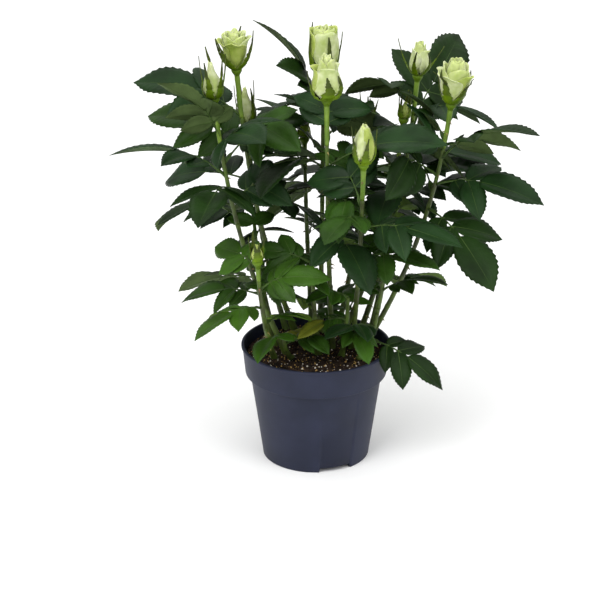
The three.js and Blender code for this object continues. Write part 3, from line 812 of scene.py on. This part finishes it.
def add_pot(batch):
    floor_top = FLOOR_RAISE + WALL
    profile = [
        (0, 0), (BOSS_RADIUS, 0), (BOSS_RADIUS, FLOOR_RAISE),
        (FOOT_RADIUS - 2 * WALL, FLOOR_RAISE), (FOOT_RADIUS - 2 * WALL, 0), (FOOT_RADIUS, 0),
        (SHOULDER_RADIUS, COLLAR_BASE - 1), (COLLAR_RADIUS, COLLAR_BASE),
        (RIM_RADIUS - 1, POT_HEIGHT - RIM_LIP), (RIM_RADIUS, POT_HEIGHT - RIM_LIP),
        (RIM_RADIUS, POT_HEIGHT), (RIM_RADIUS - RIM_LIP - 0.6, POT_HEIGHT),
        (COLLAR_RADIUS - WALL, COLLAR_BASE + 1), (SHOULDER_RADIUS - WALL, COLLAR_BASE - 1),
        (FOOT_RADIUS - WALL + 0.7, floor_top), (0, floor_top),
    ]
    add_turned(batch, rounded(profile, radius=0.9), POT_SIDES)
    points = batch.points[0]
    azimuth = np.degrees(np.arctan2(points[:, 1], points[:, 0]))
    half = math.degrees(math.asin(NOTCH_WIDTH / 2 / FOOT_RADIUS))
    for i in range(FOOT_NOTCHES):
        turn = (azimuth - FIRST_NOTCH_AZIMUTH - 360 / FOOT_NOTCHES * i + 180) % 360 - 180
        radius = np.hypot(points[:, 0], points[:, 1])
        cut = (np.abs(turn) < half) & (radius > FOOT_RADIUS - 3 * WALL) & (points[:, 2] < FLOOR_RAISE - 0.8)
        points[cut, 2] = FLOOR_RAISE - 0.8


def pierce(pot):
    """Cuts the drain holes through the pot's floor."""
    tool = Batch()
    for i in range(DRAIN_HOLES):
        angle = math.radians(FIRST_NOTCH_AZIMUTH + 360 / DRAIN_HOLES * i)
        foot = np.array([DRAIN_CIRCLE * math.cos(angle), DRAIN_CIRCLE * math.sin(angle), -2.0])
        heights = (0, 6, 12)
        add_tube(tool, [foot + UP * h for h in heights], [DRAIN_RADIUS] * len(heights), DRAIN_SIDES)
    cutter = build_piece("pot_cutter", tool, [])
    cut = pot.modifiers.new("drain", "BOOLEAN")
    cut.operation = "DIFFERENCE"
    cut.object = cutter
    cut.solver = "EXACT"
    bpy.context.view_layer.update()
    done = bpy.data.meshes.new_from_object(pot.evaluated_get(bpy.context.evaluated_depsgraph_get()))
    pot.modifiers.clear()
    pot.data = done
    bpy.data.objects.remove(cutter)


def soil_height(x, y):
    """The medium's surface: lumps, and a dip towards the wall."""
    radius = math.hypot(x, y)
    dip = SOIL_EDGE_DIP * max(0, (radius - 46) / 13) ** 2
    lumps = noise.fractal(Vector((x, y, 5)) * 0.09, 1.0, 2.1, 3)
    fine = noise.noise(Vector((x, y, 9)) * 0.55)
    return SOIL_TOP - dip + SOIL_LUMP * 0.55 * lumps + 0.45 * fine


def add_soil(batch):
    inset = WALL + 2 * GAP
    top_radius = COLLAR_RADIUS - inset + 0.65
    sides = [
        (0, FLOOR_RAISE + WALL + GAP),
        (FOOT_RADIUS - inset + 0.7, FLOOR_RAISE + WALL + GAP),
        (SHOULDER_RADIUS - inset, COLLAR_BASE - 1 + GAP),
        (COLLAR_RADIUS - inset, COLLAR_BASE + 1 + GAP),
    ]
    surface = [(r, SOIL_TOP) for r in np.linspace(top_radius, 0, SOIL_RINGS)]
    add_turned(batch, np.array([*sides, *surface]), SOIL_SIDES)
    points = batch.points[0]
    for i in np.nonzero(points[:, 2] > SOIL_TOP - 1)[0]:
        points[i, 2] = soil_height(points[i, 0], points[i, 1])


def add_crumb(batch, centre, size, draw):
    """An irregular grain: a short tube of four rings with uneven sides."""
    radii = [0.1 * size, 0.8 * size, 0.75 * size, 0.1 * size]
    axis = unit(np.array([draw() - 0.5, draw() - 0.5, 0.6 + draw()]))
    heights = np.linspace(-0.75, 0.75, len(radii)) * size
    table = np.array([[r * (0.75 + 0.5 * draw()) for _ in range(CRUMB_SIDES)] for r in radii])
    add_tube(batch, [centre + axis * h for h in heights], table, CRUMB_SIDES)


def scatter(batch, count, low, high, draw, sink):
    """Crumbs of sizes from low to high over the medium, each raised by a share of its size."""
    for _ in range(count):
        radius = SOIL_REACH * math.sqrt(draw())
        angle = 2 * math.pi * draw()
        x, y = radius * math.cos(angle), radius * math.sin(angle)
        size = low + (high - low) * draw() ** 2
        add_crumb(batch, np.array([x, y, soil_height(x, y) + size * sink]), size, draw)


def link(tree, source, output, target, socket):
    tree.links.new(source.outputs[output], target.inputs[socket])


def fill(node, values):
    for name, value in values.items():
        node.inputs[name].default_value = value


def shader(name, colour, roughness, specular):
    """A new material, its tree and its shader's node."""
    material = bpy.data.materials.new(name)
    material.use_nodes = True
    tree = material.node_tree
    node = tree.nodes["Principled BSDF"]
    fill(node, {"Base Color": colour, "Roughness": roughness, "Specular IOR Level": specular})
    return material, tree, node


def mottle(tree, node, light, dark, scale, detail=3.0, low=0.35, high=0.65):
    """Mixes two colours by noise in the object's own space."""
    place = tree.nodes.new("ShaderNodeTexCoord")
    texture = tree.nodes.new("ShaderNodeTexNoise")
    fill(texture, {"Scale": scale, "Detail": detail})
    ramp = tree.nodes.new("ShaderNodeValToRGB")
    for stop, position, colour in zip(ramp.color_ramp.elements, (low, high), (dark, light)):
        stop.position = position
        stop.color = colour
    link(tree, place, "Object", texture, "Vector")
    link(tree, texture, "Fac", ramp, "Fac")
    link(tree, ramp, "Color", node, "Base Color")
    return place


def grain(tree, node, place, scale, strength, distance, voronoi=False):
    """Fine relief, from noise or from cells, in the object's own space."""
    texture = tree.nodes.new("ShaderNodeTexVoronoi" if voronoi else "ShaderNodeTexNoise")
    bump = tree.nodes.new("ShaderNodeBump")
    fill(texture, {"Scale": scale})
    fill(bump, {"Strength": strength, "Distance": distance})
    link(tree, place, "Object", texture, "Vector")
    link(tree, texture, "Distance" if voronoi else "Fac", bump, "Height")
    link(tree, bump, "Normal", node, "Normal")


def scaled(colour, factor):
    return (*(min(1.0, c * factor) for c in colour[:3]), 1.0)


def leaf_material(name, colour, roughness, specular):
    material, tree, node = shader(name, colour, roughness, specular)
    place = mottle(tree, node, scaled(colour, 1.35), scaled(colour, 0.7), scale=40)
    grain(tree, node, place, scale=900, strength=0.25, distance=0.0004, voronoi=True)
    return material


def petal_material(name, colour, deeper):
    material, tree, node = shader(name, colour, roughness=0.55, specular=0.35)
    place = mottle(tree, node, colour, deeper, scale=110, detail=2.0, low=0.3, high=0.75)
    fill(node, {"Subsurface Weight": 0.35, "Subsurface Radius": (0.9, 1.0, 0.5)})
    fill(node, {"Subsurface Scale": 0.002, "Sheen Weight": 0.15})
    grain(tree, node, place, scale=600, strength=0.12, distance=0.0005)
    return material


def bark_material(name, light, dark, specular=0.4):
    material, tree, node = shader(name, light, roughness=0.5, specular=specular)
    place = mottle(tree, node, light, dark, scale=90)
    grain(tree, node, place, scale=700, strength=0.2, distance=0.0004)
    return material


def pot_material():
    material, tree, node = shader("pot_plastic", srgb(31, 36, 56), roughness=0.55, specular=0.26)
    place = mottle(tree, node, srgb(34, 39, 60), srgb(28, 33, 52), scale=35)
    grain(tree, node, place, scale=1500, strength=0.25, distance=0.0003)
    return material


def soil_material():
    material, tree, node = shader("growing_medium", srgb(44, 34, 27), roughness=0.95, specular=0.15)
    place = mottle(tree, node, srgb(62, 47, 37), srgb(24, 19, 16), scale=260, detail=6.0)
    grain(tree, node, place, scale=700, strength=0.9, distance=0.002)
    return material


def plain_material(name, colour):
    material, tree, node = shader(name, colour, roughness=0.8, specular=0.3)
    place = mottle(tree, node, colour, scaled(colour, 0.8), scale=200)
    grain(tree, node, place, scale=900, strength=0.3, distance=0.0004)
    return material


def make_pot():
    batch = Batch()
    add_pot(batch)
    pot = build_piece("pot_shell", batch, [])
    pierce(pot)
    pot.data.materials.clear()
    pot.data.materials.append(pot_material())
    pot.data.shade_smooth()
    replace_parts(pot, "pot")


def make_soil():
    draw = draws(SOIL_SEED)
    ground = Batch()
    add_soil(ground)
    scatter(ground, DARK_CRUMBS, 0.6, 2.6, draw, 0.1)
    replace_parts(build_piece("soil_surface", ground, [soil_material()]), "soil")
    for name, count, high, colour in GRAINS:
        grains = Batch()
        scatter(grains, count, 0.35, high, draw, 0.35)
        build_piece(name, grains, [plain_material(name, srgb(*colour))])


def make_stems():
    canes, stems, prickles = Batch(), Batch(), Batch()
    for shoot in SHOOTS:
        path = cane_path(shoot)
        joint = shoot.first - CROWN_START
        bark_tube(canes, path, CANE_ROOT, joint, shoot.seed)
        neck = NECK_START if shoot.bud else 1
        bark_tube(stems, path, joint - LAP, neck, shoot.seed)
        if shoot.bud:
            bark_tube(stems, path, neck - LAP, 1, shoot.seed, NECK_SWELL, slot=1)
        draw = draws(shoot.seed + PRICKLE_SEED)
        if shoot.last < 1:
            add_prickles(prickles, path, 0.06, 0.94, PRICKLES, draw)
    bark = bark_material("cane_bark", srgb(84, 106, 36), srgb(56, 66, 30))
    upper = bark_material("stem_skin", srgb(78, 102, 32), srgb(62, 70, 34))
    neck = bark_material("neck_skin", srgb(118, 146, 50), srgb(92, 122, 36))
    thorn = bark_material("prickle_skin", srgb(140, 132, 70), srgb(110, 84, 52))
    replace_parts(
        build_piece("cane_bark", canes, [bark]), *(f"cane_{shoot.name}" for shoot in SHOOTS)
    )
    build_piece("stem_skin", stems, [upper, neck])
    build_piece("cane_prickles", prickles, [thorn])


def make_leaves():
    blades = {tone: Batch() for tone in LEAF_TONES}
    ribs = Batch()
    draw = draws(LEAF_SEED)
    for tone, leaf in grow_leaves():
        add_leaf(leaf, tone, blades, ribs, draw)
    for tone, batch in blades.items():
        upper, under, _ = LEAF_TONES[tone]
        materials = [
            leaf_material(f"leaf_{tone}", srgb(*upper), roughness=0.42, specular=0.12),
            leaf_material(f"leaf_{tone}_under", srgb(*under), roughness=0.7, specular=0.1),
        ]
        piece = build_piece(f"leaves_{tone}", batch, materials)
        nodes = [f"crown_{shoot.name}" for shoot in SHOOTS if shoot.tone == tone]
        if nodes:
            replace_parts(piece, *nodes)
    rib = bark_material("leaf_ribs", srgb(66, 90, 38), srgb(50, 70, 28), 0.2)
    build_piece("leaf_ribs", ribs, [rib, rib])


def make_buds():
    petals = {kind: Batch() for kind in PETAL_TONES}
    green = Batch()
    for shoot in SHOOTS:
        if shoot.bud:
            add_bud(shoot, petals, green, draws(shoot.seed + BUD_SEED))
    for kind, tones in PETAL_TONES.items():
        materials = [
            petal_material(f"petal_{kind}_{face}", srgb(*light), srgb(*deep))
            for face, (light, deep) in zip(("inside", "outside"), tones)
        ]
        build_piece(f"petals_{kind}", petals[kind], materials)
    outside = bark_material("sepal_skin", srgb(104, 132, 14), srgb(76, 102, 10), 0.15)
    inside = bark_material("sepal_inside", srgb(124, 144, 70), srgb(98, 120, 52), 0.15)
    hip = bark_material("hip_skin", srgb(98, 128, 26), srgb(78, 104, 18), 0.2)
    middle = bark_material("sepal_middle", srgb(92, 114, 22), srgb(66, 84, 16), 0.15)
    tips = bark_material("sepal_tips", srgb(74, 86, 32), srgb(50, 60, 24), 0.15)
    build_piece("bud_sepals", green, [inside, outside, hip, middle, tips])


def overhead_world():
    """A white surround, brightest overhead and dim at the horizon."""
    world = bpy.data.worlds.new("studio")
    world.use_nodes = True
    tree = world.node_tree
    place = tree.nodes.new("ShaderNodeTexCoord")
    parts = tree.nodes.new("ShaderNodeSeparateXYZ")
    spread = tree.nodes.new("ShaderNodeMapRange")
    fill(spread, {"To Min": HORIZON_LIGHT, "To Max": OVERHEAD_LIGHT})
    link(tree, place, "Generated", parts, "Vector")
    link(tree, parts, "Z", spread, "Value")
    link(tree, spread, "Result", tree.nodes["Background"], "Strength")
    fill(tree.nodes["Background"], {"Color": (1, 1, 1, 1)})
    return world


def make_stage():
    bpy.ops.mesh.primitive_plane_add(size=FLOOR_SIZE)
    floor = bpy.context.object
    floor.name = "floor"
    material, _, _ = shader("floor", (0.93, 0.93, 0.93, 1), roughness=0.9, specular=0.1)
    floor.data.materials.append(material)
    bpy.context.scene.world = overhead_world()
    for name, place, size, power in LAMPS:
        data = bpy.data.lights.new(name, "AREA")
        data.size = size
        data.energy = power
        lamp = new_object(name, data)
        lamp.location = place
        aim = Vector(AIM) - lamp.location
        lamp.rotation_euler = aim.to_track_quat("-Z", "Y").to_euler()
    bpy.context.scene.view_settings.view_transform = "Standard"


def make_camera():
    data = bpy.data.cameras.new("view")
    data.sensor_width = SENSOR_WIDTH
    data.lens = FOCAL_PIXELS * SENSOR_WIDTH / FRAME_PIXELS
    data.clip_end = 50
    camera = new_object("view", data)
    pitch = math.radians(CAMERA_PITCH)
    back = Vector((0, -math.cos(pitch), math.sin(pitch))) * CAMERA_DISTANCE
    camera.location = (Vector(CAMERA_TARGET) + back) * MM
    camera.rotation_euler = (math.pi / 2 - pitch, 0, 0)
    bpy.context.scene.camera = camera


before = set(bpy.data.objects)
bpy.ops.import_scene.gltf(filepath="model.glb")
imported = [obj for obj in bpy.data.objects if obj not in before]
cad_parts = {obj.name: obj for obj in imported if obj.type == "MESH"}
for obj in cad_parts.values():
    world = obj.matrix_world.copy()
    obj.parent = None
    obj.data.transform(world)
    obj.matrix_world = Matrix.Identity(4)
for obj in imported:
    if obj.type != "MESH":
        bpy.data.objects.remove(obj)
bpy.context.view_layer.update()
make_camera()
make_pot()
make_soil()
make_stems()
make_leaves()
make_buds()
make_stage()
